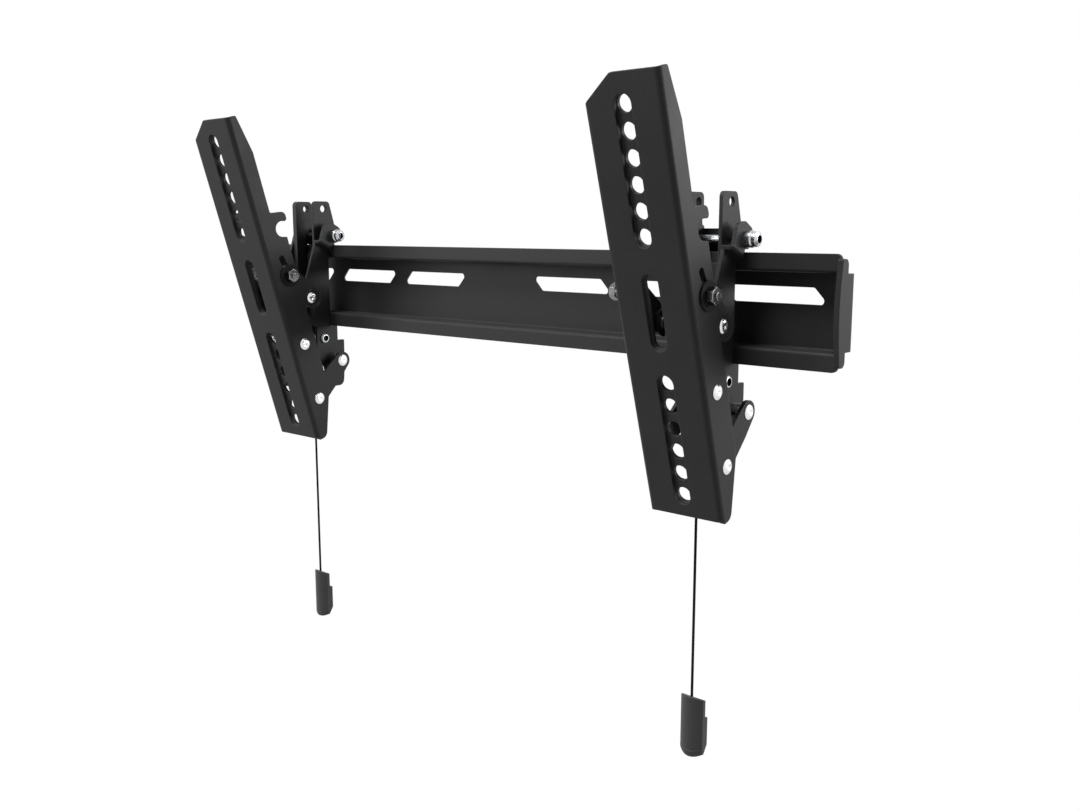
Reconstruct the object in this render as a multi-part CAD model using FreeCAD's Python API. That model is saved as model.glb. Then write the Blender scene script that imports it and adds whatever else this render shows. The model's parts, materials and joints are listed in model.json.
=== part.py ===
"""Tilting wall mount for a flat screen: a wall rail and two arms that hook on to it, tilt and lock."""
import FreeCAD, Part
import math
import os
from FreeCAD import Vector

# Sheet metal and fits, in millimetres
sheet = 2.0
bend = 1.0
running = 0.05
slide_gap = 0.3

# Wall rail: a hat section with its back on the wall at Y = 0 and its centre at X = Z = 0
rail_length = 478.0
rail_height = 57.3
rail_depth = 15.0
lip_height = 9.4
lip_end_radius = 3.0
rail_bend = 0.5
rail_corner = 1.8
slot_length = 53.1
slot_height = 8.6
slot_lean = 8.0
slot_radius = 2.0
slot_start = 28.6
slot_pitch = 67.9
slot_flare = 1.2
slot_count = 3
slot_level = 7.15
end_tab_height = 52.6
end_tab_neck = 38.0
end_tab_sheet = 2.8
end_tab_bend = 5.2
end_tab_back = 10.0
end_tab_proud = 0.5
end_tab_bow = 4.0
end_tab_bow_radius = 140.0

# Arms: folded channels, leaning with their tops towards the viewer
arm_offset = 167.5
arm_tilt = 16.0
arm_foot = (-37.8, -107.55)
arm_width = 45.2
arm_length = 226.2
arm_chamfer = (17.8, 13.6)
flange_depth = 20.5
flange_foot_depth = 8.2
flange_foot_rise = 30.0
flange_foot_drop = 1.6
flange_foot_lead = 1.0
flange_head_depth = 12.3
flange_tip_depth = 6.9
flange_tip_fall = 25.0
hook_level = 160.8
hook_reach = 23.8
notch_centre = (18.5, 148.2)
notch_radius = 5.25
hook_radius = 3.5
hook_tip_radius = 1.8
flange_corner = 1.5
flange_foot_radius = 5.0
flange_heel_radius = 12.0
flange_tip_radius = 6.0
chamfer_radius = 3.0
face_foot_radius = 3.0

# Screen holes, in two pressed tracks with a slot between them
hole_diameter = 8.4
hole_pitch = 12.5
hole_top_setback = 14.5
hole_group = 6
hole_span = 16
track_width = 10.0
track_depth = 2.0
track_draft = 0.5
track_wall = 1.2
middle_slot_length = 40.0

# Pivots on the arm, as depth behind its face and height above its foot
link_pin = (10.8, 27.1)
cross_pin = (11.1, 68.1)
tilt_bolt = (14.3, 116.9)
tilt_slot_end = (11.5, 129.6)

# Pivots and bolts on the hook bracket, as Y and Z
friction_pivot = (-35.7, -7.5)
link_pivot = (-11.9, -53.6)
guide_bolt = (-21.2, -37.5)
top_bolt = (-13.5, 35.2)
lock_hole = (-17.2, 54.0)

# Stack across the arm, inwards from its flanges
arm_washer_height = 1.0
right_spacer = 4.25
left_spacer = 0.85
tab_joggle = 5.2

# Hook bracket, side plates and latch
bracket_front = -26.0
bracket_top = 59.2
bracket_foot = -45.0
bracket_corner = 3.0
ear_rise = 9.0
ear_lean = 2.2
bracket_web_height = 46.0
hook_web_top = 40.6
hook_back = -8.1
hook_drop = 6.3
hook_nose_radius = 2.0
plate_boss = 7.0
plate_lug = (-38.0, -21.0, -28.0)
plate_waist = -27.6
plate_foot = -73.0
plate_heel = -3.6
plate_heel_step = 5.8
plate_corner = 1.0
plate_bow = 5.0
plate_foot_front = 9.5
plate_foot_radius = 4.5
plate_step = 11.0
tab_back = 5.2
tab_top = 9.2
tab_front = 8.8
tab_root = 13.0
tab_radius = 3.0
lock_hole_diameter = 5.0
latch_travel = 8.0
latch_foot = -58.0
latch_tongue = 4.0
latch_corner = 2.0
latch_margin = 1.5
lug_half = 4.0
cord_lug_reach = 6.85

# Links
link_small_radius = 6.2
link_waist_radius = 7.1
link_waist_share = 0.33
link_big_radius = 7.0
friction_radius = 7.4
friction_bolt_radius = 6.6
dish_radius = 6.2
dish_draft = 1.4
dish_depth = 2.0

# Fasteners
rivet_diameter = 4.0
rivet_head_diameter = 8.0
rivet_head_height = 1.3
rivet_dimple = 0.45
stop_bush_diameter = 6.0
stop_bush_height = 4.0
tilt_bolt_diameter = 3.8
tilt_slot_gap = 0.2
tilt_head_diameter = 9.0
tilt_head_height = 1.8
tilt_bush_diameter = 7.4
tilt_bush_height = 7.0
tilt_washer_diameter = 15.0
tilt_washer_height = 1.0
nut_width = 8.0
nut_height = 4.0
top_bolt_diameter = 4.2
top_head_diameter = 8.8
top_head_height = 7.2
top_button_diameter = 8.0
top_socket = 3.8
guide_diameter = 4.0
guide_head_diameter = 6.6
guide_button_diameter = 6.0
guide_head_height = 1.9
guide_socket = 3.6
socket_share = 0.8
small_nut_width = 7.0
small_nut_height = 2.4
thread_end = 1.0

# Pull cords, plumb below the latches
cord_reach = 3.6
cord_depth = -18.0
cord_diameter = 1.5
cord_length = 157.0
cord_knot_diameter = 3.4
pull_width = 15.5
pull_height = 36.0
pull_depth = 5.5
pull_rib_depth = 2.4
pull_rib_start = 12.0
pull_bow = 2.0
pull_edge = 1.0

# Spring that lifts the latch
spring_diameter = 5.0
spring_wire = 0.7
spring_turns = 6

half_width = arm_width / 2
half_rail = rail_length / 2
half_height = rail_height / 2
rail_inner = half_height - lip_height
lip_front = -rail_depth
lip_back = -rail_depth + sheet
flange_inner = half_width - sheet
friction_level = flange_inner - running
link_level = flange_inner - running
dish_back = friction_level - dish_depth - sheet
bracket_right = dish_back - right_spacer - sheet
bracket_left = -dish_back + left_spacer + sheet
latch_right = bracket_left + 2 * sheet + running
cord_place = (latch_right + cord_reach, cord_depth)


def corner_wire(corners, place):
    """Closed wire through (a, b, radius) corners, with a tangent arc at each corner that has a radius."""
    starts = []
    middles = []
    ends = []
    count = len(corners)
    for index, (a, b, radius) in enumerate(corners):
        before = corners[index - 1]
        after = corners[(index + 1) % count]
        here = Vector(a, b, 0)
        back = Vector(before[0] - a, before[1] - b, 0).normalize()
        ahead = Vector(after[0] - a, after[1] - b, 0).normalize()
        half_angle = back.getAngle(ahead) / 2
        run = radius / math.tan(half_angle)
        middle_way = (back + ahead).normalize() if radius else back
        centre = here + middle_way * (radius / math.sin(half_angle))
        starts.append(here + back * run)
        middles.append(centre - middle_way * radius)
        ends.append(here + ahead * run)
    edges = []
    for index in range(count):
        start, end = ends[index - 1], starts[index]
        if start.distanceToPoint(end) > 1e-6:
            edges.append(Part.LineSegment(place(start), place(end)).toShape())
        if corners[index][2]:
            arc = Part.Arc(place(starts[index]), place(middles[index]), place(ends[index]))
            edges.append(arc.toShape())
    return Part.Wire(edges)


def side_plate(corners, low, high):
    """Plate with a side outline of (y, z, radius) corners, between two levels across X."""
    wire = corner_wire(corners, lambda p: Vector(low, p.x, p.y))
    return Part.Face(wire).extrude(Vector(high - low, 0, 0))


def front_plate(corners, low, high):
    """Plate with a front outline of (x, z, radius) corners, between two depths along Y."""
    wire = corner_wire(corners, lambda p: Vector(p.x, low, p.y))
    return Part.Face(wire).extrude(Vector(0, high - low, 0))


def folded(corners, low, high):
    """Folded section of (x, y, radius) corners, between two heights."""
    wire = corner_wire(corners, lambda p: Vector(p.x, p.y, low))
    return Part.Face(wire).extrude(Vector(0, 0, high - low))


def rod(centre, low, high, diameter):
    """Round bar along X at a (y, z) centre."""
    return Part.makeCylinder(diameter / 2, high - low, Vector(low, *centre), Vector(1, 0, 0))


def block(low, high):
    """Box between two corners."""
    size = Vector(*high) - Vector(*low)
    return Part.makeBox(size.x, size.y, size.z, Vector(*low))


def strap(first, second, first_radius, second_radius, low, high):
    """Plate round two (y, z) centres: two arcs and their tangents."""
    start = Vector(0, *first)
    run = Vector(0, *second) - start
    along = math.atan2(run.z, run.y)
    spread = math.acos((first_radius - second_radius) / run.Length)

    def rim(centre, radius, angle):
        return Vector(low, centre[0] + radius * math.cos(angle), centre[1] + radius * math.sin(angle))

    first_low = rim(first, first_radius, along - spread)
    first_high = rim(first, first_radius, along + spread)
    second_low = rim(second, second_radius, along - spread)
    second_high = rim(second, second_radius, along + spread)
    edges = [
        Part.Arc(first_high, rim(first, first_radius, along + math.pi), first_low).toShape(),
        Part.LineSegment(first_low, second_low).toShape(),
        Part.Arc(second_low, rim(second, second_radius, along), second_high).toShape(),
        Part.LineSegment(second_high, first_high).toShape(),
    ]
    return Part.Face(Part.Wire(edges)).extrude(Vector(high - low, 0, 0))


def turned(edges, centre):
    """Solid turned about X from a half section of edges drawn in the XY plane."""
    solid = Part.Face(Part.Wire(edges)).revolve(Vector(0, 0, 0), Vector(1, 0, 0), 360)
    solid.translate(Vector(0, *centre))
    return solid


def line(*points):
    """Straight edges through (x, y) points."""
    places = [Vector(x, y, 0) for x, y in points]
    return [Part.LineSegment(a, b).toShape() for a, b in zip(places, places[1:])]


def domed_head(centre, seat, outwards):
    """Low domed rivet head with a dimple, on a face at X = seat."""
    radius = rivet_head_diameter / 2
    top = seat + outwards * rivet_head_height
    rim = seat + outwards * rivet_head_height / 4
    shoulder = Vector(seat + outwards * rivet_head_height * 0.8, radius * 0.72, 0)
    flat = radius * 0.4
    arc = Part.Arc(Vector(rim, radius, 0), shoulder, Vector(top, flat, 0)).toShape()
    dimple = top - outwards * rivet_dimple
    edges = line((dimple, 0), (seat, 0), (seat, radius), (rim, radius)) + [arc] + line((top, flat), (dimple, 0))
    return turned(edges, centre)


def rivet(centre, inner, outer):
    """Rivet between two faces across X, with a domed head outside and a flat one inside."""
    outwards = 1 if outer > inner else -1
    low, high = sorted((inner, outer))
    shank = rod(centre, low, high, rivet_diameter)
    flat_low, flat_high = sorted((inner, inner - outwards * rivet_head_height / 2))
    flat = rod(centre, flat_low, flat_high, rivet_head_diameter * 0.8)
    return shank.fuse([flat, domed_head(centre, outer, outwards)]).removeSplitter()


def hexagon(centre, low, high, width):
    """Hexagonal bar along X, with corners up and down."""
    radius = width / math.sqrt(3)
    corners = []
    for step in range(6):
        angle = math.radians(60 * step + 30)
        corners.append((centre[0] + radius * math.cos(angle), centre[1] + radius * math.sin(angle), 0))
    return side_plate(corners, low, high)


def nut(centre, seat, outwards, width, height, bore):
    """Hexagonal nut with turned-off corners, seated on a face at X = seat."""
    low, high = sorted((seat, seat + outwards * height))
    chamfer = height * 0.14
    across = width / math.sqrt(3) + running
    edges = line(
        (low, 0), (low, width / 2), (low + chamfer, across), (high - chamfer, across), (high, width / 2),
        (high, 0), (low, 0),
    )
    return hexagon(centre, low, high, width).common(turned(edges, centre)).cut(rod(centre, low, high, bore))


def ring(centre, low, high, diameter, bore):
    """Washer or spacer along X."""
    return rod(centre, low, high, diameter).cut(rod(centre, low, high, bore))


def socket_screw(centre, tip, seat, head, diameter, socket):
    """Screw along X with a stepped head (collar, button, height) at X = seat and a hexagonal socket."""
    collar_diameter, button_diameter, head_height = head
    edge = head_height * 0.12
    end = seat + head_height
    step = seat + head_height * 0.6
    collar = collar_diameter / 2
    button = button_diameter / 2
    edges = line(
        (seat, 0), (seat, collar), (step - edge, collar), (step, collar - edge), (step, button - running),
        (end - edge, button - running), (end, button - 2 * edge), (end, 0), (seat, 0),
    )
    depth = head_height * socket_share
    body = turned(edges, centre).fuse(rod(centre, tip, seat, diameter)).removeSplitter()
    return body.cut(hexagon(centre, end - depth, end, socket))


def arm_point(depth, height):
    """Y and Z of a point on the leaning arm."""
    lean = math.radians(arm_tilt)
    y = arm_foot[0] + depth * math.cos(lean) - height * math.sin(lean)
    z = arm_foot[1] + depth * math.sin(lean) + height * math.cos(lean)
    return (y, z)


def obround(half, low, high, depth):
    """Round-ended upright wire in the arm's face, between two end centres."""
    right_low, right_high = Vector(half, depth, low), Vector(half, depth, high)
    left_low, left_high = Vector(-half, depth, low), Vector(-half, depth, high)
    edges = [
        Part.LineSegment(right_low, right_high).toShape(),
        Part.Arc(right_high, Vector(0, depth, high + half), left_high).toShape(),
        Part.LineSegment(left_high, left_low).toShape(),
        Part.Arc(left_low, Vector(0, depth, low - half), right_low).toShape(),
    ]
    return Part.Wire(edges)


def tapered(near, far):
    """Ruled solid between two wires."""
    return Part.makeLoft([near, far], True, True)


def make_rail():
    leg = rail_inner + sheet
    section = [
        (0, -leg, rail_corner), (0, leg, rail_corner), (lip_back, leg, rail_bend), (lip_back, half_height, 0),
        (lip_front, half_height, 0), (lip_front, rail_inner, rail_corner), (-sheet, rail_inner, rail_bend),
        (-sheet, -rail_inner, rail_bend), (lip_front, -rail_inner, rail_corner), (lip_front, -half_height, 0),
        (lip_back, -half_height, 0), (lip_back, -leg, rail_bend),
    ]
    body = side_plate(section, -half_rail, half_rail)
    reach = half_rail - end_tab_sheet / 2
    outline = [
        (x * reach, z * half_height, lip_end_radius) for x, z in ((-1, -1), (1, -1), (1, 1), (-1, 1))
    ]
    body = body.common(front_plate(outline, lip_front, 0))
    for side in (-1, 1):
        inner = side * (half_rail - end_tab_bend)
        low, high = sorted((inner, side * rail_length))
        body = body.cut(block((low, lip_back, -rail_height), (high, sheet, rail_height)))
        body = body.fuse(rail_end(side))
    for side in (-1, 1):
        for index in range(slot_count):
            body = body.cut(rail_slot(side, index))
    return body.removeSplitter()


def rail_end(side):
    """End tab, bent forward from the rail's web past the ends of the lips and wider than its neck."""
    edge = side * half_rail
    face = side * (half_rail - end_tab_sheet)
    root = side * (half_rail - end_tab_bend - sheet)
    ahead = lip_front - end_tab_proud
    fold = [
        (root, 0, 0), (edge, 0, end_tab_bend), (edge, ahead, 0), (face, ahead, 0),
        (face, -sheet, end_tab_bend - sheet), (root, -sheet, 0),
    ]
    strip = folded(fold, -end_tab_neck / 2, end_tab_neck / 2)
    half_tab = end_tab_height / 2
    tab = [
        (ahead, -half_tab, bend), (ahead - end_tab_bow, 0, end_tab_bow_radius), (ahead, half_tab, bend),
        (-end_tab_back, half_tab, lip_end_radius), (-end_tab_back, -half_tab, lip_end_radius),
    ]
    low, high = sorted((face, edge))
    return strip.fuse(side_plate(tab, low, high))


def rail_slot(side, index):
    """Leaning slot for a wall screw, flared towards the wall and mirrored about the rail's middle."""
    start = slot_start + index * slot_pitch
    top = slot_level + slot_height / 2
    bottom = slot_level - slot_height / 2

    def rim(flare, depth):
        low, high = side * (start - flare), side * (start + slot_length + flare)
        lean = side * slot_lean
        corners = [
            (low, top, slot_radius), (high, top, slot_radius), (high + lean, bottom, slot_radius),
            (low + lean, bottom, slot_radius),
        ]
        return corner_wire(corners, lambda p: Vector(p.x, depth, p.y))

    return tapered(rim(0, -sheet), rim(slot_flare, 0))


def flange_outline():
    """Side outline of the arm's two flanges, as (depth, height, radius), before the notch is cut."""
    below = notch_centre[1] - notch_radius / 2
    taper = arm_length - flange_tip_fall
    return [
        (-sheet, 0, 0), (flange_foot_lead, 0, 0), (2 * flange_foot_lead, -flange_foot_drop, bend),
        (flange_foot_depth, -flange_foot_drop, flange_foot_radius),
        (flange_depth, flange_foot_rise, flange_heel_radius), (flange_depth, below, 0),
        (hook_reach, below, 0), (hook_reach, hook_level - sheet, hook_radius),
        (flange_head_depth, hook_level, flange_corner), (flange_head_depth, taper, flange_tip_radius),
        (flange_tip_depth, arm_length, flange_corner), (-sheet, arm_length, 0),
    ]


def make_arm():
    outer = bend + sheet
    deep = hook_reach + sheet
    section = [
        (-half_width, deep, 0), (-half_width, 0, outer), (half_width, 0, outer), (half_width, deep, 0),
        (flange_inner, deep, 0), (flange_inner, sheet, bend), (-flange_inner, sheet, bend),
        (-flange_inner, deep, 0),
    ]
    arm = folded(section, -flange_foot_drop, arm_length)
    room = block((-arm_width, -2 * sheet, -sheet - flange_foot_drop), (arm_width, 2 * deep, arm_length + sheet))
    arm = arm.cut(room.cut(side_plate(flange_outline(), -2 * arm_width, 2 * arm_width)))
    face_half = half_width - outer
    arm = arm.cut(block((-face_half, -sheet, -2 * flange_foot_drop), (face_half, outer, 0)))
    arm = round_feet(round_hooks(arm.cut(hook_notch())))
    chamfer = [
        (-half_width, arm_length - arm_chamfer[1], 0),
        (-half_width + arm_chamfer[0], arm_length, chamfer_radius), (arm_width, arm_length, 0),
        (arm_width, 2 * arm_length, 0), (-arm_width, 2 * arm_length, 0),
        (-arm_width, arm_length - arm_chamfer[1], 0),
    ]
    arm = arm.cut(front_plate(chamfer, -sheet, 2 * deep))
    arm = press_tracks(arm)
    for depth, height in (link_pin, cross_pin):
        arm = arm.cut(rod((depth, height), -arm_width, arm_width, rivet_diameter + 2 * running))
    half_slot = tilt_bolt_diameter / 2 + tilt_slot_gap
    return arm.cut(strap(tilt_bolt, tilt_slot_end, half_slot, half_slot, -arm_width, arm_width))


def hook_notch():
    """Round-bottomed notch under the hook, level when the arm leans."""
    reach = 2 * notch_radius
    mouth = block((-arm_width, 0, -notch_radius), (arm_width, 2 * reach, notch_radius))
    mouth.rotate(Vector(0, 0, 0), Vector(1, 0, 0), -arm_tilt)
    mouth.translate(Vector(0, *notch_centre))
    return mouth.fuse(rod(notch_centre, -arm_width, arm_width, 2 * notch_radius))


def round_hooks(arm):
    """Rounds the tips of the hooks where the notch leaves them sharp."""
    lean = math.radians(arm_tilt)
    fall = (hook_reach - notch_centre[0]) * math.tan(lean)
    tip = notch_centre[1] + notch_radius / math.cos(lean) - fall
    tips = [Part.Vertex(Vector(side * (half_width - sheet / 2), hook_reach, tip)) for side in (1, -1)]
    sharp = [edge for edge in arm.Edges if min(edge.distToShape(point)[0] for point in tips) < running]
    return arm.makeFillet(hook_tip_radius, sharp)


def round_feet(arm):
    """Rounds the face's two lower corners, where the bends run out."""
    deep = flange_foot_lead
    for side in (1, -1):
        centre = side * (half_width - face_foot_radius)
        low, high = sorted((centre, side * half_width))
        corner = block((low, 0, 0), (high, deep, face_foot_radius))
        place = Vector(centre, 0, face_foot_radius)
        arm = arm.cut(corner.cut(Part.makeCylinder(face_foot_radius, deep, place, Vector(0, 1, 0))))
    return arm


def press_tracks(arm):
    """Presses the two hole tracks and the slot between them into the arm's face, and pierces them."""
    top = arm_length - hole_top_setback
    group = (hole_group - 1) * hole_pitch
    foot = top - hole_span * hole_pitch
    half_track = track_width / 2
    middle = top - hole_span * hole_pitch / 2
    half_slot = middle_slot_length / 2 - half_track
    runs = [(top - group, top), (middle - half_slot, middle + half_slot), (foot, foot + group)]
    floor = half_track - track_draft
    for low, high in runs:
        back = tapered(
            obround(half_track + track_wall, low, high, sheet / 2),
            obround(floor + track_wall, low, high, sheet + track_depth),
        )
        arm = arm.fuse(back)
    for low, high in runs:
        arm = arm.cut(tapered(obround(half_track, low, high, 0), obround(floor, low, high, track_depth)))
    through = 2 * (sheet + track_depth)
    for low in (foot, top - group):
        for index in range(hole_group):
            place = Vector(0, 0, low + index * hole_pitch)
            arm = arm.cut(Part.makeCylinder(hole_diameter / 2, through, place, Vector(0, 1, 0)))
    low, high = runs[1]
    slot = Part.Face(obround(hole_diameter / 2, low, high, 0)).extrude(Vector(0, through, 0))
    return arm.cut(slot).removeSplitter()


def bracket_outline(back):
    """Side outline of a wall of the hook bracket: an ear above and a hook over the rail's upper lip."""
    nose = half_height - hook_drop
    roof = half_height + slide_gap
    front = lip_front - slide_gap
    behind = lip_back + slide_gap
    ear_back = lock_hole[0] + lock_hole_diameter
    return [
        (bracket_front, bracket_top, bracket_corner), (ear_back, bracket_top, bracket_corner), *back,
        (hook_back, nose, hook_nose_radius), (behind, nose, bend), (behind, roof, 0), (front, roof, 0),
        (front, bracket_foot, bracket_corner), (bracket_front, bracket_foot, bracket_corner),
    ]


def make_bracket():
    """Hook bracket: two walls, a web before the rail and a hooked web above it, which meet at the bends."""
    ear_foot = top_bolt[1] + ear_rise
    lean_back = lock_hole[0] + lock_hole_diameter + ear_lean
    right = bracket_outline([(hook_back, ear_foot, bracket_corner)])
    left = bracket_outline([(lean_back, hook_web_top + 2 * bend, bend), (hook_back, hook_web_top + bend, bend)])
    front = lip_front - slide_gap
    half_web = bracket_web_height / 2
    fold = [
        (bracket_left, bracket_front + sheet, 0), (bracket_left, front, bend + sheet),
        (bracket_right, front, bend + sheet), (bracket_right, bracket_front + sheet, 0),
        (bracket_right - sheet, bracket_front + sheet, 0), (bracket_right - sheet, front - sheet, bend),
        (bracket_left + sheet, front - sheet, bend), (bracket_left + sheet, bracket_front + sheet, 0),
    ]
    near = (bracket_left - sheet, front - bend - sheet, -half_web)
    relief = block(near, (bracket_right + sheet, front, half_web))
    walls = [
        side_plate(right, bracket_right - sheet, bracket_right).cut(relief),
        side_plate(left, bracket_left, bracket_left + sheet).cut(relief),
    ]
    web = folded(fold, -half_web, half_web).common(relief)
    hooked = hook_web().cut(walls)
    holes = []
    for centre, diameter in (
        (lock_hole, lock_hole_diameter),
        (top_bolt, top_bolt_diameter + 2 * running),
        (guide_bolt, guide_diameter + 2 * running),
    ):
        holes.append(rod(centre, bracket_left, bracket_right, diameter))
    return Part.makeCompound([wall.cut(holes) for wall in walls] + [web, hooked])


def hook_web():
    """Web that joins the walls above the rail and hooks behind its upper lip."""
    face = hook_back - sheet
    root = lip_back + slide_gap
    fold = [
        (bracket_left, root, 0), (bracket_left, hook_back, bend), (bracket_right, hook_back, bend),
        (bracket_right, root, 0), (bracket_right - sheet, root, 0), (bracket_right - sheet, face, bend),
        (bracket_left + sheet, face, bend), (bracket_left + sheet, root, 0),
    ]
    near = (bracket_left + sheet, face, half_height - hook_drop)
    lower = block(near, (bracket_right - sheet, hook_back, half_height))
    return folded(fold, half_height, hook_web_top).fuse(lower)


def plate_front():
    """Front edge of a side plate, from its waist above the friction pivot down to its foot."""
    lug_front, lug_top, lug_bottom = plate_lug
    boss_front = friction_pivot[0] - plate_boss / 2
    boss_foot = friction_pivot[1] - plate_boss
    return [
        (boss_front, friction_pivot[1] + plate_corner, plate_bow),
        (boss_front + plate_corner, boss_foot, plate_bow),
        (plate_waist, boss_foot - plate_corner, plate_corner),
        (plate_waist, lug_top, plate_corner), (lug_front, lug_top, plate_corner),
        (lug_front, lug_bottom, plate_corner), (plate_waist, lug_bottom, plate_corner),
        (plate_waist, link_pivot[1] + plate_boss, plate_bow),
        (link_pivot[0] - plate_foot_front, link_pivot[1] - plate_bow, plate_foot_radius),
        (link_pivot[0] - plate_bow, plate_foot, plate_foot_radius),
        (link_pivot[0] + plate_boss, plate_foot, plate_foot_radius),
    ]


def plate_back():
    """Back edge of a side plate, from its heel by the wall up the front of the rail."""
    below = -half_height - slide_gap
    step = -half_height - plate_step
    inset = plate_heel - plate_heel_step
    edge = plate_corner / 2
    return [
        (plate_heel, link_pivot[1] - plate_bow, plate_foot_radius), (plate_heel, step, edge),
        (inset, step, edge),
        (inset, below, plate_corner), (lip_front - slide_gap, below, plate_corner),
    ]


def tab_outline():
    """Top tab of a side plate, from its lower back corner round to its lower front corner."""
    y, z = top_bolt
    over = half_height + 5 * slide_gap
    return [
        (lip_front - 4 * slide_gap, z - 2 * plate_bow, plate_corner),
        (lip_front - slide_gap, over, plate_corner / 2), (y + flange_corner, over, flange_corner),
        (y + tab_back, z - flange_corner, tab_radius),
        (y + tab_back, z + tab_back, tab_radius), (y - sheet, z + tab_top, tab_radius),
        (y - tab_front, z + tab_top - flange_corner, tab_radius), (y - tab_root, z - plate_bow, 0),
    ]


def pierce_plate(plate, levels):
    low, high = levels
    plate = plate.cut(rod(top_bolt, low, high, top_bolt_diameter + 2 * running))
    for centre in (friction_pivot, link_pivot, guide_bolt):
        plate = plate.cut(rod(centre, low, high, rivet_diameter + 2 * running))
    return plate.removeSplitter()


def make_flat_plate():
    """Side plate on the left, flat from its foot to its tab."""
    low, high = bracket_left - sheet, bracket_left
    tab = tab_outline()
    plate = side_plate(plate_front() + plate_back() + tab, low, high)
    return pierce_plate(plate, (low, high))


def make_joggled_plate():
    """Side plate on the right: its tab stands out by a joggle along a sloping fold."""
    low, high = bracket_right, bracket_right + sheet
    tab_low, tab_high = low + tab_joggle, high + tab_joggle
    tab = tab_outline()
    back_corner, front_corner = tab[0], tab[-1]
    lower = plate_front() + plate_back() + [
        (lip_front - slide_gap, back_corner[1], 0), (back_corner[0], back_corner[1], 0),
        (front_corner[0], front_corner[1], 0),
    ]
    shelf = [
        (front_corner[0], front_corner[1], 0), (back_corner[0], back_corner[1], 0),
        (back_corner[0], back_corner[1] + sheet, 0), (front_corner[0], front_corner[1] + sheet, 0),
    ]
    square_tab = [(back_corner[0], back_corner[1], 0)] + tab[1:]
    plate = side_plate(lower, low, high).fuse(
        [side_plate(shelf, low, tab_high), side_plate(square_tab, tab_low, tab_high)]
    ).removeSplitter()
    plate = round_fold(plate, tab_high, front_corner, back_corner)
    return pierce_plate(plate, (low, tab_high))


def round_fold(plate, level, front_corner, back_corner):
    """Rounds the outer edge of the fold between the joggle's shelf and its tab."""
    middle = Vector(level, (front_corner[0] + back_corner[0]) / 2, (front_corner[1] + back_corner[1]) / 2)
    fold = [edge for edge in plate.Edges if edge.distToShape(Part.Vertex(middle))[0] < running]
    return plate.makeFillet(bend + sheet / 2, fold)


def make_latch():
    """Latch bar: an ear with the lock hole, a shank with a guide slot, and a tongue behind the lower lip."""
    low, high = latch_right - sheet, latch_right
    shank_back = lip_front - slide_gap - sheet - slide_gap
    fold_back = shank_back - bend
    under = -bracket_web_height / 2 - slide_gap
    ear_back = lock_hole[0] + lock_hole_diameter
    shoulder = top_bolt[1] + top_bolt_diameter / 2 + latch_travel + latch_margin
    mouth = lip_back + slide_gap
    tip = -rail_inner - sheet - 3 * slide_gap
    saddle = -half_height - latch_travel - latch_margin
    outline = [
        (bracket_front, bracket_top, bracket_corner), (ear_back, bracket_top, bracket_corner),
        (ear_back, shoulder, latch_corner), (fold_back, shoulder - latch_corner, latch_corner),
        (fold_back, under, 0), (shank_back, under, 0), (shank_back, saddle, latch_corner),
        (mouth, saddle, latch_corner), (mouth, tip, bend),
        (mouth + latch_tongue, tip, bend), (mouth + latch_tongue, saddle - latch_travel, latch_corner),
        (cord_place[1] + lug_half, latch_foot, latch_corner), (bracket_front, latch_foot, bracket_corner),
    ]
    bar = side_plate(outline, low, high)
    x, y = cord_place
    lug_end = (high + cord_lug_reach, y + lug_half, latch_foot + sheet)
    bar = bar.fuse(block((low, y - lug_half, latch_foot), lug_end))
    bar = bar.cut(rod(lock_hole, low, high, lock_hole_diameter))
    half_slot = guide_diameter / 2 + slide_gap
    raised = (guide_bolt[0], guide_bolt[1] + latch_travel)
    bar = bar.cut(strap(guide_bolt, raised, half_slot, half_slot, low, high))
    hole = Part.makeCylinder(cord_diameter / 2 + running, 2 * sheet, Vector(x, y, latch_foot - sheet / 2))
    return bar.cut(hole).removeSplitter()


def make_spring():
    """Tension spring from the guide bolt down to the latch's lug."""
    x = cord_place[0]
    y = guide_bolt[0]
    radius = (spring_diameter - spring_wire) / 2
    foot = latch_foot + sheet + spring_wire
    top = guide_bolt[1] - guide_diameter / 2 - spring_wire
    pitch = spring_wire * 1.8
    height = pitch * spring_turns
    base = (foot + top - height) / 2
    helix = Part.makeHelix(pitch, height, radius)
    profile = Part.Wire(Part.makeCircle(spring_wire / 2, Vector(radius, 0, 0), Vector(0, 1, 0)))
    coil = Part.Wire(helix).makePipeShell([profile], True, True)
    coil.translate(Vector(x, y, base))
    upper = Part.makeCylinder(spring_wire / 2, top - base - height, Vector(x + radius, y, base + height))
    seat = Vector(x + radius, y, latch_foot + sheet)
    lower = Part.makeCylinder(spring_wire / 2, base - seat.z, seat)
    return coil.fuse([upper, lower])


def make_lower_link(side):
    """Lower link: a tapered strap from the bracket's foot to the arm."""
    low, high = sorted((side * link_level, side * (link_level - sheet)))
    arm_end = arm_point(*link_pin)
    waist = tuple(a + (b - a) * link_waist_share for a, b in zip(link_pivot, arm_end))
    link = strap(link_pivot, waist, link_small_radius, link_waist_radius, low, high)
    link = link.fuse(strap(waist, arm_end, link_waist_radius, link_big_radius, low, high)).removeSplitter()
    for centre in (link_pivot, arm_end):
        link = link.cut(rod(centre, low, high, rivet_diameter + 2 * running))
    return link


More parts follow.
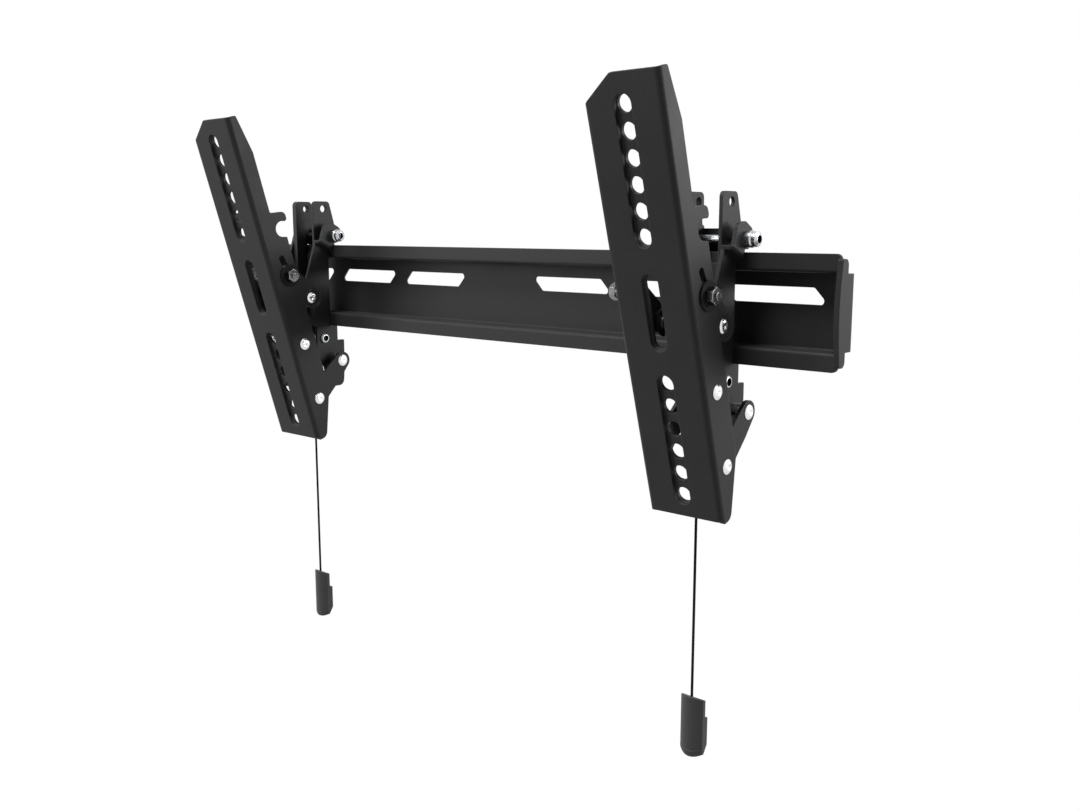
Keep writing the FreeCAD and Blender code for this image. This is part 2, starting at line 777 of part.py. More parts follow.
def make_friction_link(side):
    """Friction link: a strap with a dished end, so that its rivet stays clear of the arm's flange."""
    outer = side * friction_level
    inner = side * (friction_level - sheet)
    floor = side * (friction_level - dish_depth)
    under = side * (friction_level - dish_depth - sheet)
    bolt_end = arm_point(*tilt_bolt)
    low, high = sorted((outer, inner))
    link = strap(friction_pivot, bolt_end, friction_radius, friction_bolt_radius, low, high)
    low, high = sorted((outer, under))
    link = link.fuse(rod(friction_pivot, low, high, 2 * friction_radius))
    dish = line(
        (outer, 0), (floor, 0), (floor, dish_radius - dish_draft), (outer, dish_radius), (outer, 0),
    )
    link = link.cut(turned(dish, friction_pivot))
    link = link.cut(rod(friction_pivot, -half_width, half_width, rivet_diameter + 2 * running))
    return link.cut(rod(bolt_end, -half_width, half_width, tilt_bolt_diameter + 2 * running)).removeSplitter()


def make_pull():
    """Moulded pull: a flat grip with a bowed foot and a thicker back below its waist."""
    x, y = cord_place
    top = latch_foot - cord_length
    half = pull_width / 2
    foot = top - pull_height + pull_bow
    front = y - pull_depth / 2

    def grip(inset, high, near, far):
        corners = [
            Vector(x - half + inset, near, foot), Vector(x - half + inset, near, high),
            Vector(x + half - inset, near, high), Vector(x + half - inset, near, foot),
        ]
        edges = [Part.LineSegment(a, b).toShape() for a, b in zip(corners, corners[1:])]
        bow = Vector(x, near, foot - pull_bow + inset / 2)
        edges.append(Part.Arc(corners[3], bow, corners[0]).toShape())
        return Part.Face(Part.Wire(edges)).extrude(Vector(0, far - near, 0))

    body = grip(0, top, front, front + pull_depth)
    body = body.makeFillet(pull_edge, [edge for edge in body.Edges if edge.BoundBox.YLength < running])
    back = front + pull_depth
    rib = grip(pull_edge, top - pull_rib_start, back - pull_edge, back + pull_rib_depth)
    rib = rib.makeFillet(pull_edge / 2, [edge for edge in rib.Edges if edge.BoundBox.YMin > back])
    return body.fuse(rib).removeSplitter()


def make_cord():
    """Cord with its stop knot, from above the latch's lug down to the pull."""
    x, y = cord_place
    top = latch_foot - cord_length
    rise = latch_foot + sheet - top
    knot_radius = cord_knot_diameter / 2
    cord = Part.makeCylinder(cord_diameter / 2, rise + knot_radius, Vector(x, y, top))
    knot = Part.makeSphere(knot_radius, Vector(x, y, latch_foot + sheet + knot_radius))
    base = Part.makeBox(
        4 * knot_radius, 4 * knot_radius, knot_radius,
        Vector(x - 2 * knot_radius, y - 2 * knot_radius, latch_foot + sheet),
    )
    crown = base.copy()
    crown.translate(Vector(0, 0, knot_radius))
    return cord.fuse(knot.common(base.fuse(crown))).removeSplitter()


def fastener_pair(maker):
    """The same fastener on the right and on the left of one arm, as one group."""
    return Part.makeCompound([maker(1), maker(-1)])


def plate_face(side):
    """Outer face of the right or the left side plate."""
    return bracket_right + sheet if side > 0 else bracket_left - sheet


def arm_side_parts():
    """Every piece of one arm, drawn about X = 0."""
    arm = make_arm()
    arm.rotate(Vector(0, 0, 0), Vector(1, 0, 0), arm_tilt)
    arm.translate(Vector(0, *arm_foot))
    arm_end = arm_point(*link_pin)
    cross = arm_point(*cross_pin)
    bolt_end = arm_point(*tilt_bolt)
    bore = rivet_diameter + 2 * running
    dish_floor = friction_level - dish_depth
    tilt_seat = half_width + tilt_washer_height
    tab_face = bracket_right + sheet + tab_joggle
    flat_face = bracket_left - sheet

    def tilt_washer(side):
        low, high = sorted((side * half_width, side * tilt_seat))
        return ring(bolt_end, low, high, tilt_washer_diameter, tilt_bore)

    def tilt_stand(side):
        return tilt_seat if side > 0 else tilt_seat + tilt_bush_height

    def tilt_screw(side):
        inner = side * (friction_level - sheet)
        tip = side * (tilt_stand(side) + nut_height + thread_end)
        low, high = sorted((inner, tip))
        shank = rod(bolt_end, low, high, tilt_bolt_diameter)
        low, high = sorted((inner, inner - side * tilt_head_height))
        return shank.fuse(rod(bolt_end, low, high, tilt_head_diameter)).removeSplitter()

    def stop_bush(side):
        low, high = sorted((side * flange_inner, side * (flange_inner - stop_bush_height)))
        return ring(cross, low, high, stop_bush_diameter, bore)

    def link_spacer(side):
        low, high = sorted((plate_face(side), side * (link_level - sheet)))
        return ring(link_pivot, low, high, rivet_head_diameter, bore)

    def friction_spacer(side):
        low, high = sorted((plate_face(side), side * (dish_floor - sheet)))
        return ring(friction_pivot, low, high, rivet_head_diameter, bore)

    def arm_washer(side):
        under = link_level - sheet
        low, high = sorted((side * under, side * (under - arm_washer_height)))
        return ring(arm_end, low, high, rivet_head_diameter + sheet, bore)

    arm_rivet_end = link_level - sheet - arm_washer_height
    stop_end = flange_inner - stop_bush_height
    tilt_bore = tilt_bolt_diameter + 2 * running
    top_bore = top_bolt_diameter + 2 * running
    guide_bore = guide_diameter + 2 * running
    return {
        "tv_arm": arm,
        "hook_bracket": make_bracket(),
        "joggled_plate": make_joggled_plate(),
        "flat_plate": make_flat_plate(),
        "lower_link_a": make_lower_link(1),
        "lower_link_b": make_lower_link(-1),
        "friction_link_a": make_friction_link(1),
        "friction_link_b": make_friction_link(-1),
        "arm_rivets": fastener_pair(lambda s: rivet(arm_end, s * arm_rivet_end, s * half_width)),
        "arm_washers": fastener_pair(arm_washer),
        "link_rivets": fastener_pair(
            lambda s: rivet(link_pivot, plate_face(s) - s * sheet, s * link_level)
        ),
        "link_spacers": fastener_pair(link_spacer),
        "friction_rivets": fastener_pair(
            lambda s: rivet(friction_pivot, plate_face(s) - s * sheet, s * dish_floor)
        ),
        "friction_spacers": fastener_pair(friction_spacer),
        "stop_bushes": fastener_pair(stop_bush),
        "stop_rivets": fastener_pair(lambda s: rivet(cross, s * stop_end, s * half_width)),
        "tilt_bolts": fastener_pair(tilt_screw),
        "tilt_nuts": fastener_pair(
            lambda s: nut(bolt_end, s * tilt_stand(s), s, nut_width, nut_height, tilt_bore)
        ),
        "tilt_bush": ring(bolt_end, -tilt_stand(-1), -tilt_seat, tilt_bush_diameter, tilt_bore),
        "tilt_washers": fastener_pair(tilt_washer),
        "top_bolt": socket_screw(
            top_bolt, flat_face - small_nut_height - thread_end, tab_face,
            (top_head_diameter, top_button_diameter, top_head_height), top_bolt_diameter, top_socket,
        ),
        "top_nut": nut(top_bolt, flat_face, -1, nut_width, small_nut_height, top_bore),
        "guide_bolt": socket_screw(
            guide_bolt, flat_face - small_nut_height - thread_end, bracket_right + sheet,
            (guide_head_diameter, guide_button_diameter, guide_head_height), guide_diameter, guide_socket,
        ),
        "guide_nut": nut(guide_bolt, flat_face, -1, small_nut_width, small_nut_height, guide_bore),
        "latch": make_latch(),
        "latch_spring": make_spring(),
        "pull_cord": make_cord(),
        "pull_handle": make_pull(),
    }


def main():
    os.makedirs("parts", exist_ok=True)
    make_rail().exportStep("parts/wall_rail.step")
    for name, shape in arm_side_parts().items():
        for hand, side in (("left", -1), ("right", 1)):
            piece = shape.copy()
            piece.translate(Vector(side * arm_offset, 0, 0))
            piece.exportStep(f"parts/{name}_{hand}.step")


main()
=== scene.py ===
"""Tilting wall mount in satin black powder coat, on a plain pale floor under soft studio light."""
import json
import math

import bmesh
import bpy
from mathutils import Matrix, Vector


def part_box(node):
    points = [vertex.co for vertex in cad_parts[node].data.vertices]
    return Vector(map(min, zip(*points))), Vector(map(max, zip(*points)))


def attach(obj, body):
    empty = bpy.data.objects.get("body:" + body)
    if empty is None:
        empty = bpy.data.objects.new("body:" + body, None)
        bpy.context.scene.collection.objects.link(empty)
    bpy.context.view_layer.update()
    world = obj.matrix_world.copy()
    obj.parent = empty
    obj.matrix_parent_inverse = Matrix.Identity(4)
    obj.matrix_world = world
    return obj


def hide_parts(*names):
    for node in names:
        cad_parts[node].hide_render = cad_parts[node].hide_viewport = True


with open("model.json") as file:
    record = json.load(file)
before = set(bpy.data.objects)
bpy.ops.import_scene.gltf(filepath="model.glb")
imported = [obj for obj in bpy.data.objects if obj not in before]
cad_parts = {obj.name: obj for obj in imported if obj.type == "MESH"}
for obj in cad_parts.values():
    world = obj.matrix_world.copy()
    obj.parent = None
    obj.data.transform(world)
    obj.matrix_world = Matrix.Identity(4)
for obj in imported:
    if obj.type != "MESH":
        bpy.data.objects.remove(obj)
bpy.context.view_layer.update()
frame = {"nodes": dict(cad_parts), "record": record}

# Camera of the photograph: metres, degrees, and pixels of its 1080 x 810 frame
IMAGE_WIDTH_PX = 1080
FOCAL_PX = 1079.28
SENSOR_WIDTH_MM = 36.0
CAMERA_PLACE = (0.4731, -0.4972, 0.0412)
CAMERA_YAW = 41.524
CAMERA_PITCH = 9.358
CAMERA_NEAR = 0.01

# Stage: metres
FLOOR_LEVEL = -0.62
FLOOR_SIZE = 12.0
FLOOR_COLOUR = (0.40, 0.40, 0.40, 1.0)
FLOOR_ROUGHNESS = 0.9
WHITE = (1.0, 1.0, 1.0, 1.0)
WHITE_STRENGTH = 1.0
WORLD_LIGHT = 0.13

# Lamps: place and size in metres, power in watts
LAMP_TARGET = (0.0, -0.05, 0.0)
LAMPS = {
    "key_lamp": {"place": (1.55, 1.15, 0.5), "size": 1.0, "power": 37.0},
    "fill_lamp": {"place": (-1.2, -1.3, 0.45), "size": 0.9, "power": 16.0},
    "top_lamp": {"place": (-0.3, -0.9, 1.7), "size": 0.8, "power": 58.0},
}

# Cords: a plumb route from the latch's lug into the pull's sloping top, in metres
ARM_PLACES = {"left": -0.1675, "right": 0.1675}
CORD_X = -0.00605
CORD_Y = -0.018
CORD_EXIT_Z = -0.058
CORD_LENGTH = 0.157
CORD_DIAMETER = 0.0015
CORD_LEAD = 6 * CORD_DIAMETER
CORD_TUCK = 0.0022
CORD_ROUNDNESS = 4
SPLINE_ORDER = 3

# Stop knots on the lugs: metres, and the share of the cord's thickness that is left when tight
LUG_HEIGHT = 0.002
KNOT_RADIUS = 0.0017
KNOT_TURNS = 1.5
KNOT_STEPS = 14
KNOT_SQUEEZE = 0.9
KNOT_ROUNDNESS = 3

# Pulls: bowed front, top that falls away to the back, thumb rib, line near the foot; in metres,
# with the angle in degrees above which an edge stays sharp
PULL_WIDTH = 0.0145
PULL_COLUMNS = 24
PULL_PLATE = 0.0055
PULL_FRONT_BOW = 0.0031
PULL_TOP_SLOPE = 0.42
PULL_FOOT_RISE = 0.0021
PULL_EDGE = 0.0004
PULL_FOOT_EDGE = 3 * PULL_EDGE
PULL_RIB_START = 0.012
PULL_RIB_SLOPE = 0.0010
PULL_LINE_RISE = 0.0042
PULL_LINE_WIDTH = 0.0007
PULL_LINE_DEPTH = 0.0004
PULL_CUT_DEPTH = 0.0032
PULL_CUT_RISE = 0.0050
PULL_SHARP_ANGLE = 35.0

# Sockets of the bright screws, painted dark as shade within a radius of a point below the head's
# face: metres
SOCKET_DEPTH = 0.0012
SOCKET_RADIUS = 0.0024
SOCKET_RIM = 0.0002

# Colours of the finishes
COAT_DARK = (0.0180, 0.0182, 0.0185, 1.0)
COAT_LIGHT = (0.0230, 0.0232, 0.0236, 1.0)
COAT_FLECK = (0.046, 0.046, 0.047, 1.0)
# Paler edge colour of the coat: edge wear and a painted highlight
COAT_EDGE_WEAR_AND_HIGHLIGHT = (0.075, 0.075, 0.077, 1.0)
ZINC_DARK = (0.70, 0.70, 0.69, 1.0)
ZINC_LIGHT = (0.84, 0.84, 0.83, 1.0)
PLATE_DARK = (0.50, 0.51, 0.53, 1.0)
PLATE_LIGHT = (0.58, 0.59, 0.61, 1.0)
# Painted shade in the screws' sockets
SOCKET_SHADE_COLOUR = (0.012, 0.012, 0.012, 1.0)
STEEL_DARK = (0.09, 0.09, 0.09, 1.0)
STEEL_LIGHT = (0.15, 0.15, 0.148, 1.0)
# Painted highlight along the steel's edges
STEEL_EDGE_HIGHLIGHT = (0.75, 0.75, 0.74, 1.0)
FIBRE_DARK = (0.010, 0.010, 0.010, 1.0)
FIBRE_LIGHT = (0.020, 0.020, 0.020, 1.0)
BRAID_DARK = (0.009, 0.009, 0.009, 1.0)
BRAID_LIGHT = (0.018, 0.018, 0.0185, 1.0)
PLASTIC_DARK = (0.015, 0.015, 0.0155, 1.0)
PLASTIC_LIGHT = (0.020, 0.020, 0.0205, 1.0)
PLASTIC_EDGE = (0.06, 0.06, 0.062, 1.0)

# Braid: lean of its strands in degrees, scale of their wave texture, and how much they wander
BRAID_LEAN = 38.0
BRAID_SCALE = 700.0
BRAID_WANDER = 0.6

# Edge mask: cosines between the rounded and the true normal at a full edge and on a flat face
EDGE_FULL = 0.75
EDGE_NONE = 0.995
BEVEL_SAMPLES = 6


def new_object(name, data):
    """Links new data into the scene as an object."""
    piece = bpy.data.objects.new(name, data)
    bpy.context.scene.collection.objects.link(piece)
    return piece


def add_camera():
    """Camera at the photograph's place, with its focal length and direction."""
    data = bpy.data.cameras.new("photo_camera")
    data.sensor_fit = "HORIZONTAL"
    data.sensor_width = SENSOR_WIDTH_MM
    data.lens = SENSOR_WIDTH_MM * FOCAL_PX / IMAGE_WIDTH_PX
    data.clip_start = CAMERA_NEAR
    camera = new_object("photo_camera", data)
    turn = Matrix.Rotation(math.radians(CAMERA_YAW), 4, "Z")
    tip = Matrix.Rotation(math.radians(90.0 - CAMERA_PITCH), 4, "X")
    camera.matrix_world = Matrix.Translation(CAMERA_PLACE) @ turn @ tip
    bpy.context.scene.camera = camera


class Nodes:
    """A material's node tree with short calls for adding and linking nodes."""

    def __init__(self, name):
        self.material = bpy.data.materials.new(name)
        self.material.use_nodes = True
        self.tree = self.material.node_tree
        self.shader = self.tree.nodes["Principled BSDF"]
        self.place = self.add("ShaderNodeTexCoord").outputs["Object"]

    def add(self, kind, **settings):
        """New node with some of its settings."""
        node = self.tree.nodes.new(kind)
        for key, value in settings.items():
            setattr(node, key, value)
        return node

    def link(self, source, target):
        """Joins an output to an input."""
        self.tree.links.new(source, target)

    def feed(self, name, source):
        """Joins an output to one of the shader's inputs."""
        self.link(source, self.shader.inputs[name])

    def fix(self, name, value):
        """Sets one of the shader's inputs to the same value all over."""
        self.shader.inputs[name].default_value = value

    def noise(self, scale, detail, stretch=None):
        """Noise over the object, in cycles to the metre, stretched along its axes if asked."""
        node = self.add("ShaderNodeTexNoise")
        node.inputs["Scale"].default_value = scale
        node.inputs["Detail"].default_value = detail
        source = self.place
        if stretch:
            mapping = self.add("ShaderNodeMapping")
            mapping.inputs["Scale"].default_value = stretch
            self.link(source, mapping.inputs["Vector"])
            source = mapping.outputs["Vector"]
        self.link(source, node.inputs["Vector"])
        return node.outputs["Fac"]

    def spread(self, source, low, high, start=0.3, end=0.7):
        """Maps a value from start and end on to low and high. Noise lies mostly in 0.3 to 0.7."""
        node = self.add("ShaderNodeMapRange")
        node.inputs["From Min"].default_value = start
        node.inputs["From Max"].default_value = end
        node.inputs["To Min"].default_value = low
        node.inputs["To Max"].default_value = high
        self.link(source, node.inputs["Value"])
        return node.outputs["Result"]

    def mix(self, factor, first, second):
        """Colour between two colours, each a value or an output."""
        node = self.add("ShaderNodeMix", data_type="RGBA")
        self.link(factor, node.inputs["Factor"])
        colours = [socket for socket in node.inputs if socket.type == "RGBA"]
        for socket, colour in zip(colours, (first, second)):
            if isinstance(colour, tuple):
                socket.default_value = colour
            else:
                self.link(colour, socket)
        return [socket for socket in node.outputs if socket.type == "RGBA"][0]

    def clouded(self, noise, dark, light):
        """Colour that a noise varies between two colours."""
        return self.mix(self.spread(noise, low=0.0, high=1.0), dark, light)

    def paler_edges(self, edge, share, body, edge_colour):
        """Body colour that goes a share of the way to a paler colour along its edges."""
        return self.mix(self.spread(edge, low=0.0, high=share, start=0.0, end=1.0), body, edge_colour)

    def bump(self, height, strength, distance, normal=None):
        """Normal that a height disturbs, over another normal if there is one."""
        node = self.add("ShaderNodeBump")
        node.inputs["Strength"].default_value = strength
        node.inputs["Distance"].default_value = distance
        self.link(height, node.inputs["Height"])
        if normal:
            self.link(normal, node.inputs["Normal"])
        return node.outputs["Normal"]

    def combine(self, operation, first, second):
        """Result of one sum on two outputs."""
        node = self.add("ShaderNodeMath", operation=operation)
        self.link(first, node.inputs[0])
        self.link(second, node.inputs[1])
        return node.outputs["Value"]

    def nearest(self, places):
        """Distance to the nearest of some places, in metres."""
        least = None
        for place in places:
            node = self.add("ShaderNodeVectorMath", operation="DISTANCE")
            node.inputs[1].default_value = place
            self.link(self.place, node.inputs[0])
            distance = node.outputs["Value"]
            least = self.combine("MINIMUM", least, distance) if least else distance
        return least

    def soft_edges(self, radius):
        """Normal that is rounded over at sharp edges, and a mask of those edges."""
        bevel = self.add("ShaderNodeBevel", samples=BEVEL_SAMPLES)
        bevel.inputs["Radius"].default_value = radius
        true_normal = self.add("ShaderNodeNewGeometry").outputs["True Normal"]
        dot = self.add("ShaderNodeVectorMath", operation="DOT_PRODUCT")
        self.link(bevel.outputs["Normal"], dot.inputs[0])
        self.link(true_normal, dot.inputs[1])
        mask = self.spread(dot.outputs["Value"], low=1.0, high=0.0, start=EDGE_FULL, end=EDGE_NONE)
        return bevel.outputs["Normal"], mask


def powder_coat():
    """Satin black powder coat: fine orange peel, faint clouds, thinner and paler on its edges,
    which is edge wear and also a painted highlight.
    """
    nodes = Nodes("satin_powder_coat")
    cloud = nodes.noise(scale=28.0, detail=4.0)
    speck = nodes.noise(scale=2600.0, detail=1.0)
    peel = nodes.noise(scale=1150.0, detail=2.0)
    normal, edge = nodes.soft_edges(radius=0.0006)
    body = nodes.clouded(cloud, COAT_DARK, COAT_LIGHT)
    fleck_share = nodes.spread(speck, low=0.0, high=0.35, start=0.6, end=0.78)
    flecked = nodes.mix(fleck_share, body, COAT_FLECK)
    # Paler edges: edge wear, and a painted highlight where the coat's edges catch light
    nodes.feed("Base Color", nodes.paler_edges(edge, 0.5, flecked, COAT_EDGE_WEAR_AND_HIGHLIGHT))
    nodes.feed("Roughness", nodes.spread(cloud, low=0.40, high=0.50))
    nodes.feed("Normal", nodes.bump(peel, strength=0.16, distance=0.00025, normal=normal))
    nodes.fix("Specular IOR Level", 0.12)
    return nodes.material


def zinc():
    """Bright zinc plate: a pale metal with fine drawn lines and a little cloudiness."""
    nodes = Nodes("bright_zinc")
    cloud = nodes.noise(scale=260.0, detail=3.0)
    drawn = nodes.noise(scale=900.0, detail=2.0, stretch=(0.15, 1.0, 1.0))
    normal, _ = nodes.soft_edges(radius=0.0003)
    nodes.feed("Base Color", nodes.clouded(cloud, ZINC_DARK, ZINC_LIGHT))
    nodes.feed("Roughness", nodes.spread(drawn, low=0.20, high=0.34))
    nodes.feed("Normal", nodes.bump(drawn, strength=0.08, distance=0.0001, normal=normal))
    nodes.fix("Metallic", 1.0)
    return nodes.material


def socket_middles():
    """Middle of the socket in each bright screw's head, which is the screw's end towards +X."""
    middles = []
    for entry in frame["record"]["subparts"]:
        if entry["material_slot"] == "bright_screw":
            low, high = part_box(entry["node"])
            middle = (low + high) / 2
            middles.append((high.x - SOCKET_DEPTH, middle.y, middle.z))
    return middles


def bright_screw():
    """Bright plated screw: satin metal with faint turning marks and painted shade in its socket.
    """
    nodes = Nodes("bright_plate")
    marks = nodes.noise(scale=1500.0, detail=1.0, stretch=(2.0, 0.3, 0.3))
    normal, _ = nodes.soft_edges(radius=0.0004)
    plate = nodes.clouded(marks, PLATE_DARK, PLATE_LIGHT)
    # Painted shade: dark within the socket's radius, plated metal outside it
    clear = nodes.spread(
        nodes.nearest(socket_middles()),
        low=0.0, high=1.0, start=SOCKET_RADIUS, end=SOCKET_RADIUS + SOCKET_RIM,
    )
    nodes.feed("Base Color", nodes.mix(clear, SOCKET_SHADE_COLOUR, plate))
    nodes.feed("Roughness", nodes.spread(marks, low=0.22, high=0.30))
    nodes.feed("Normal", normal)
    nodes.fix("Metallic", 1.0)
    return nodes.material


def dull_steel():
    """Plain steel of the tilt bolts and nuts: dark with oil, with a painted highlight along its
    edges.
    """
    nodes = Nodes("dull_steel")
    film = nodes.noise(scale=420.0, detail=3.0)
    marks = nodes.noise(scale=1400.0, detail=2.0, stretch=(1.6, 0.4, 0.4))
    normal, edge = nodes.soft_edges(radius=0.0004)
    body = nodes.clouded(film, STEEL_DARK, STEEL_LIGHT)
    # Painted highlight: the edges go most of the way to a bright colour
    nodes.feed("Base Color", nodes.paler_edges(edge, 0.8, body, STEEL_EDGE_HIGHLIGHT))
    nodes.feed("Roughness", nodes.spread(marks, low=0.22, high=0.32))
    nodes.feed("Normal", nodes.bump(marks, strength=0.04, distance=0.0001, normal=normal))
    nodes.fix("Metallic", 1.0)
    return nodes.material


def black_washer():
    """Black friction washer: dense fibre with a fine tooth."""
    nodes = Nodes("black_fibre")
    tooth = nodes.noise(scale=1900.0, detail=3.0)
    normal, _ = nodes.soft_edges(radius=0.0003)
    nodes.feed("Base Color", nodes.clouded(tooth, FIBRE_DARK, FIBRE_LIGHT))
    nodes.feed("Roughness", nodes.spread(tooth, low=0.45, high=0.65))
    nodes.feed("Normal", nodes.bump(tooth, strength=0.2, distance=0.0002, normal=normal))
    nodes.fix("Specular IOR Level", 0.06)
    return nodes.material


def braid():
    """Black braided cord: crossing strands that wind round it."""
    nodes = Nodes("black_braid")
    heights = []
    for lean in (BRAID_LEAN, -BRAID_LEAN):
        mapping = nodes.add("ShaderNodeMapping")
        mapping.inputs["Rotation"].default_value = (0.0, math.radians(lean), 0.0)
        nodes.link(nodes.place, mapping.inputs["Vector"])
        wave = nodes.add("ShaderNodeTexWave", wave_type="BANDS", bands_direction="Z")
        wave.inputs["Scale"].default_value = BRAID_SCALE
        wave.inputs["Distortion"].default_value = BRAID_WANDER
        nodes.link(mapping.outputs["Vector"], wave.inputs["Vector"])
        heights.append(wave.outputs["Fac"])
    strand = nodes.combine("MAXIMUM", *heights)
    nodes.feed("Base Color", nodes.mix(strand, BRAID_DARK, BRAID_LIGHT))
    nodes.feed("Roughness", nodes.spread(strand, low=0.85, high=0.6, start=0.0, end=1.0))
    nodes.feed("Normal", nodes.bump(strand, strength=0.1, distance=0.0001))
    nodes.fix("Specular IOR Level", 0.0)
    return nodes.material


def moulded_plastic():
    """Black moulded plastic with a fine spark-eroded grain."""
    nodes = Nodes("grained_plastic")
    grain = nodes.noise(scale=2100.0, detail=2.0)
    cloud = nodes.noise(scale=60.0, detail=3.0)
    normal, edge = nodes.soft_edges(radius=0.0007)
    body = nodes.clouded(cloud, PLASTIC_DARK, PLASTIC_LIGHT)
    nodes.feed("Base Color", nodes.paler_edges(edge, 0.3, body, PLASTIC_EDGE))
    nodes.feed("Roughness", nodes.spread(grain, low=0.42, high=0.58))
    nodes.feed("Normal", nodes.bump(grain, strength=0.22, distance=0.0002, normal=normal))
    nodes.fix("Specular IOR Level", 0.35)
    return nodes.material


def seen_white(tree, lit, white_kind):
    """Shader that takes light as lit does, and is plain white to the camera and in reflections."""
    paths = tree.nodes.new("ShaderNodeLightPath")
    seen = paths.outputs["Is Camera Ray"]
    for name in ("Is Glossy Ray", "Is Transmission Ray"):
        either = tree.nodes.new("ShaderNodeMath")
        either.operation = "MAXIMUM"
        tree.links.new(seen, either.inputs[0])
        tree.links.new(paths.outputs[name], either.inputs[1])
        seen = either.outputs["Value"]
    white = tree.nodes.new(white_kind)
    white.inputs["Color"].default_value = WHITE
    white.inputs["Strength"].default_value = WHITE_STRENGTH
    blend = tree.nodes.new("ShaderNodeMixShader")
    tree.links.new(seen, blend.inputs["Fac"])
    tree.links.new(lit, blend.inputs[1])
    tree.links.new(white.outputs[0], blend.inputs[2])
    return blend.outputs["Shader"]


def add_floor():
    """Pale floor far below the mount, as under a wall, plain white to the camera."""
    mesh = bpy.data.meshes.new("floor")
    half = FLOOR_SIZE / 2
    signs = ((-1, -1), (1, -1), (1, 1), (-1, 1))
    mesh.from_pydata([(x * half, y * half, FLOOR_LEVEL) for x, y in signs], [], [(0, 1, 2, 3)])
    floor = new_object("floor", mesh)
    material = bpy.data.materials.new("pale_floor")
    material.use_nodes = True
    tree = material.node_tree
    shader = tree.nodes["Principled BSDF"]
    shader.inputs["Base Color"].default_value = FLOOR_COLOUR
    shader.inputs["Roughness"].default_value = FLOOR_ROUGHNESS
    surface = seen_white(tree, shader.outputs["BSDF"], "ShaderNodeEmission")
    tree.links.new(surface, tree.nodes["Material Output"].inputs["Surface"])
    mesh.materials.append(material)


def add_world():
    """White surroundings: dim as a light, plain white where they are seen."""
    world = bpy.data.worlds.new("studio")
    world.use_nodes = True
    tree = world.node_tree
    light = tree.nodes["Background"]
    light.inputs["Color"].default_value = WHITE
    light.inputs["Strength"].default_value = WORLD_LIGHT
    surface = seen_white(tree, light.outputs["Background"], "ShaderNodeBackground")
    tree.links.new(surface, tree.nodes["World Output"].inputs["Surface"])
    bpy.context.scene.world = world


def add_lamp(name, place, size, power):
    """Soft square lamp that faces the mount."""
    data = bpy.data.lights.new(name, "AREA")
    data.shape = "SQUARE"
    data.size = size
    data.energy = power
    lamp = new_object(name, data)
    lamp.location = place
    facing = Vector(LAMP_TARGET) - Vector(place)
    lamp.rotation_euler = facing.to_track_quat("-Z", "Y").to_euler()


def add_tube(data_name, name, places, radius, roundness, material):
    """Round tube along a smooth NURBS spline that has the places as its control points."""
    data = bpy.data.curves.new(data_name, "CURVE")
    data.dimensions = "3D"
    data.bevel_depth = radius
    data.bevel_resolution = roundness
    data.use_fill_caps = True
    spline = data.splines.new("NURBS")
    spline.points.add(len(places) - 1)
    for point, place in zip(spline.points, places):
        point.co = (*place, 1.0)
    spline.order_u = SPLINE_ORDER
    spline.use_endpoint_u = True
    data.materials.append(material)
    return new_object(name, data)


def add_cord(side, material, pull_material):
    """Braided cord that hangs plumb from the latch's lug, its stop knot above and pull below."""
    x = ARM_PLACES[side] + CORD_X
    route = [
        (x, CORD_Y, CORD_EXIT_Z),
        (x, CORD_Y, CORD_EXIT_Z - CORD_LEAD),
        (x, CORD_Y, CORD_EXIT_Z - CORD_LENGTH - CORD_TUCK),
    ]
    cord = add_tube(
        f"cord_{side}", f"braided_cord_{side}", route, CORD_DIAMETER / 2, CORD_ROUNDNESS, material,
    )
    knot = add_knot(side, x, material)
    pull = add_pull(side, x, pull_material)
    for piece, slot in ((cord, "cord"), (knot, "cord"), (pull, "pull")):
        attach(piece, f"latch_{side}")
    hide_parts(f"pull_cord_{side}")
    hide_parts(f"pull_handle_{side}")


def add_knot(side, x, material):
    """Stop knot on the lug: the cord's end wound tight in a turn and a half."""
    base = CORD_EXIT_Z + LUG_HEIGHT + CORD_DIAMETER / 2
    radius = KNOT_RADIUS - CORD_DIAMETER / 2
    height = KNOT_RADIUS * 2 - CORD_DIAMETER
    winding = []
    for index in range(KNOT_STEPS + 1):
        share = index / KNOT_STEPS
        angle = 2.0 * math.pi * KNOT_TURNS * share
        winding.append((
            x + radius * math.cos(angle),
            CORD_Y + radius * math.sin(angle),
            base + height * share,
        ))
    tube_radius = CORD_DIAMETER / 2 * KNOT_SQUEEZE
    return add_tube(
        f"knot_{side}", f"stop_knot_{side}", winding, tube_radius, KNOT_ROUNDNESS, material,
    )


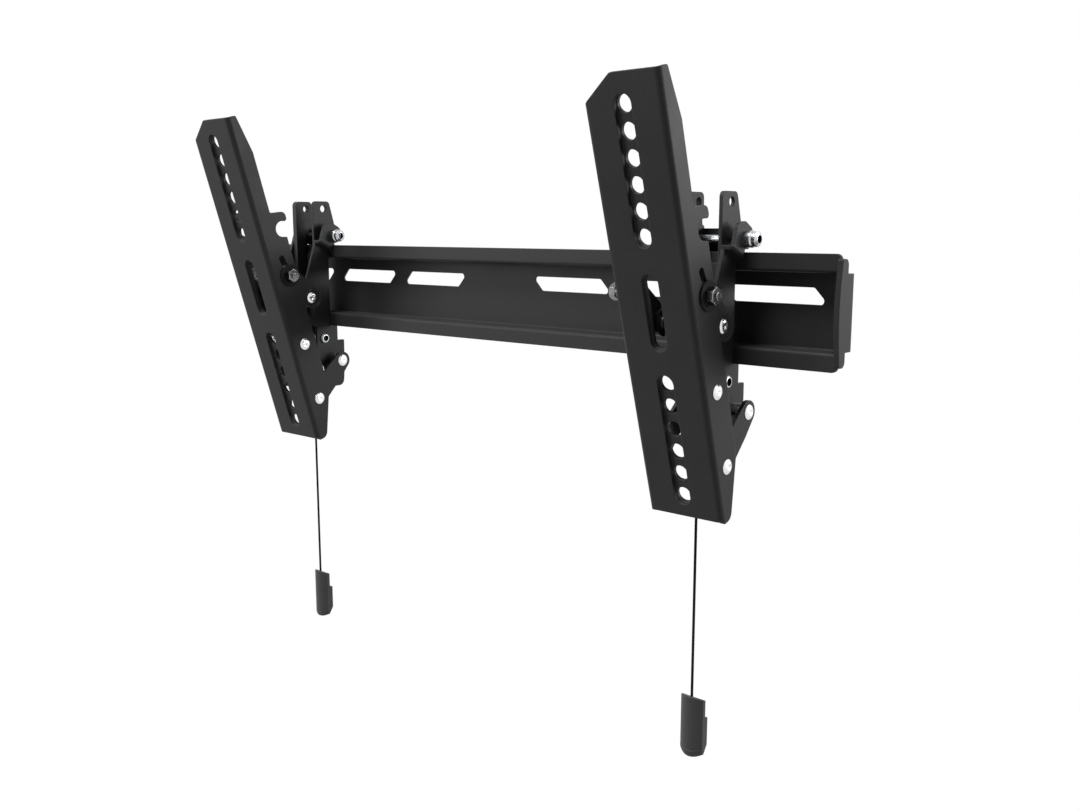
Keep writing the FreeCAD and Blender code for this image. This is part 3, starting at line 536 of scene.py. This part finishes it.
def pull_profile(share, low, high):
    """Outline of the pull in Y and Z, at a share of its half width."""
    front = low.y + PULL_FRONT_BOW * share ** 2
    foot = low.z + PULL_FOOT_RISE * share ** 2
    back = low.y + PULL_PLATE
    top = high.z - PULL_TOP_SLOPE * (front - low.y)
    line = foot + PULL_LINE_RISE
    half_line = PULL_LINE_WIDTH / 2
    rib_top = high.z - PULL_RIB_START
    return [
        (front + PULL_EDGE, top - PULL_TOP_SLOPE * PULL_EDGE),
        (front, top - PULL_EDGE),
        (front, line + half_line),
        (front + PULL_LINE_DEPTH, line),
        (front, line - half_line),
        (front, foot + PULL_FOOT_EDGE),
        (front + PULL_EDGE, foot + PULL_EDGE),
        (front + PULL_FOOT_EDGE, foot),
        (high.y - PULL_CUT_DEPTH, foot),
        (high.y, foot + PULL_CUT_RISE),
        (high.y, rib_top - PULL_RIB_SLOPE),
        (back, rib_top),
        (back, high.z - PULL_TOP_SLOPE * PULL_PLATE),
    ]


def add_pull(side, x, material):
    """Moulded pull on the cord's foot, lofted across its width and closed at both sides."""
    low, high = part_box(f"pull_handle_{side}")
    work = bmesh.new()
    columns = []
    for index in range(PULL_COLUMNS + 1):
        share = math.sin(math.pi * (index / PULL_COLUMNS - 0.5))
        across = x + share * PULL_WIDTH / 2
        profile = pull_profile(share, low, high)
        columns.append([work.verts.new((across, y, z)) for y, z in profile])
    for near, far in zip(columns, columns[1:]):
        for index in range(len(near)):
            work.faces.new((near[index - 1], near[index], far[index], far[index - 1]))
    work.faces.new(columns[0])
    work.faces.new(columns[-1])
    bmesh.ops.recalc_face_normals(work, faces=work.faces)
    for face in work.faces:
        face.smooth = True
    mesh = bpy.data.meshes.new(f"pull_{side}")
    work.to_mesh(mesh)
    work.free()
    mesh.set_sharp_from_angle(angle=math.radians(PULL_SHARP_ANGLE))
    mesh.materials.append(material)
    return new_object(f"moulded_pull_{side}", mesh)


def dress_nodes(finishes):
    """Gives each carried-over node the finish of its material slot."""
    for entry in frame["record"]["subparts"]:
        piece = frame["nodes"][entry["node"]]
        piece.data.materials.clear()
        piece.data.materials.append(finishes[entry["material_slot"]])


add_camera()
FINISHES = {
    "black_coat": powder_coat(),
    "black_washer": black_washer(),
    "zinc": zinc(),
    "bright_screw": bright_screw(),
    "dull_steel": dull_steel(),
    "cord": braid(),
    "pull": moulded_plastic(),
}
dress_nodes(FINISHES)
for hand in ARM_PLACES:
    add_cord(hand, FINISHES["cord"], FINISHES["pull"])
add_floor()
add_world()
for lamp_name, lamp_facts in LAMPS.items():
    add_lamp(lamp_name, **lamp_facts)
bpy.context.scene.view_settings.view_transform = "Standard"
